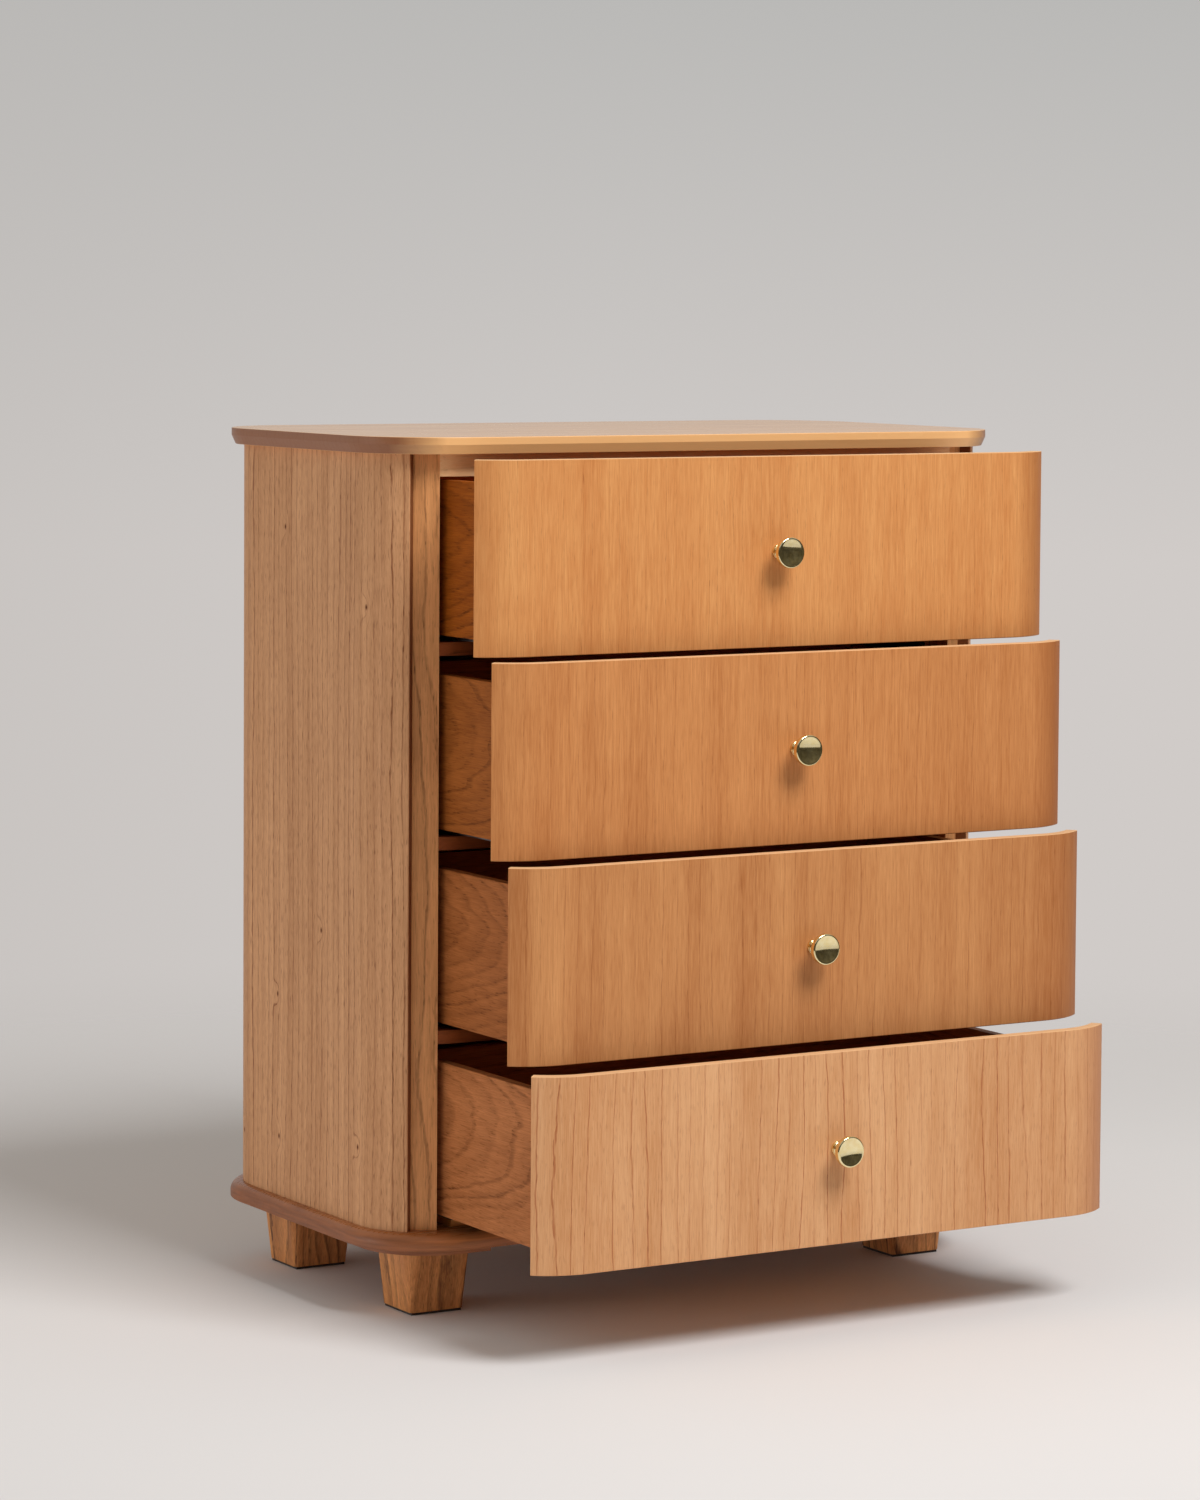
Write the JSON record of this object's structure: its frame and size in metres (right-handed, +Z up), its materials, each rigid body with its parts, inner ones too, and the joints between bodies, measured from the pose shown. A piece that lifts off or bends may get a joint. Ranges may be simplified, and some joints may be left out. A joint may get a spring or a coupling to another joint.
{
  "type": "chest of drawers",
  "caption": "Chest of drawers with rounded corners, curved-ended drawer fronts that slide on concealed runners, round brass knobs and short tapered feet.",
  "frame": {"origin": "on the floor, under the middle of the case", "axes": "+Z up, +X to the right as seen from the front, the drawers open towards -Y"},
  "size_m": [0.8, 0.717, 0.937],
  "materials": {
    "top_wood": "satin lacquered veneer",
    "base_wood": "satin lacquered solid wood",
    "side_veneer": "satin lacquered veneer",
    "front_veneer": "satin lacquered veneer",
    "post_wood": "satin lacquered solid wood",
    "foot_wood": "satin lacquered solid wood",
    "box_wood": "satin lacquered solid wood",
    "bottom_board": "lacquered plywood",
    "divider_board": "lacquered board",
    "back_board": "lacquered plywood",
    "knob_brass": "polished",
    "runner_steel": "zinc plated",
    "screw_steel": "zinc plated",
    "pad_felt": "matt"
  },
  "bodies": {
    "case": {"top_panel": "top_wood", "base_panel": "base_wood", "side_panel_left": "side_veneer", "side_panel_right": "side_veneer", "front_stile_left": "post_wood", "front_stile_right": "post_wood", "back_panel": "back_board", "top_front_rail": "post_wood", "divider_1": "divider_board", "divider_2": "divider_board", "divider_3": "divider_board", "divider_rail_1": "post_wood", "divider_rail_2": "post_wood", "divider_rail_3": "post_wood", "foot_front_left": "foot_wood", "foot_front_right": "foot_wood", "foot_back_left": "foot_wood", "foot_back_right": "foot_wood", "foot_plates": "base_wood", "foot_pads": "pad_felt", "foot_bolts": "screw_steel", "case_runners": "runner_steel", "runner_packers": "divider_board"},
    "drawer_1": {"drawer_1_front": "front_veneer", "drawer_1_box_front": "box_wood", "drawer_1_side_left": "box_wood", "drawer_1_side_right": "box_wood", "drawer_1_back": "box_wood", "drawer_1_bottom": "bottom_board", "drawer_1_knob": "knob_brass", "drawer_1_knob_screw": "screw_steel", "drawer_1_runners": "runner_steel"},
    "drawer_2": {"drawer_2_front": "front_veneer", "drawer_2_box_front": "box_wood", "drawer_2_side_left": "box_wood", "drawer_2_side_right": "box_wood", "drawer_2_back": "box_wood", "drawer_2_bottom": "bottom_board", "drawer_2_knob": "knob_brass", "drawer_2_knob_screw": "screw_steel", "drawer_2_runners": "runner_steel"},
    "drawer_3": {"drawer_3_front": "front_veneer", "drawer_3_box_front": "box_wood", "drawer_3_side_left": "box_wood", "drawer_3_side_right": "box_wood", "drawer_3_back": "box_wood", "drawer_3_bottom": "bottom_board", "drawer_3_knob": "knob_brass", "drawer_3_knob_screw": "screw_steel", "drawer_3_runners": "runner_steel"},
    "drawer_4": {"drawer_4_front": "front_veneer", "drawer_4_box_front": "box_wood", "drawer_4_side_left": "box_wood", "drawer_4_side_right": "box_wood", "drawer_4_back": "box_wood", "drawer_4_bottom": "bottom_board", "drawer_4_knob": "knob_brass", "drawer_4_knob_screw": "screw_steel", "drawer_4_runners": "runner_steel"}
  },
  "joints": [
    {"name": "drawer_1_slide", "type": "slide", "parent": "case", "child": "drawer_1", "axis": [0, -1, 0], "range_m": [-0.134, 0.131]},
    {"name": "drawer_2_slide", "type": "slide", "parent": "case", "child": "drawer_2", "axis": [0, -1, 0], "range_m": [-0.172, 0.093]},
    {"name": "drawer_3_slide", "type": "slide", "parent": "case", "child": "drawer_3", "axis": [0, -1, 0], "range_m": [-0.208, 0.057]},
    {"name": "drawer_4_slide", "type": "slide", "parent": "case", "child": "drawer_4", "axis": [0, -1, 0], "range_m": [-0.257, 0.008]}
  ]
}
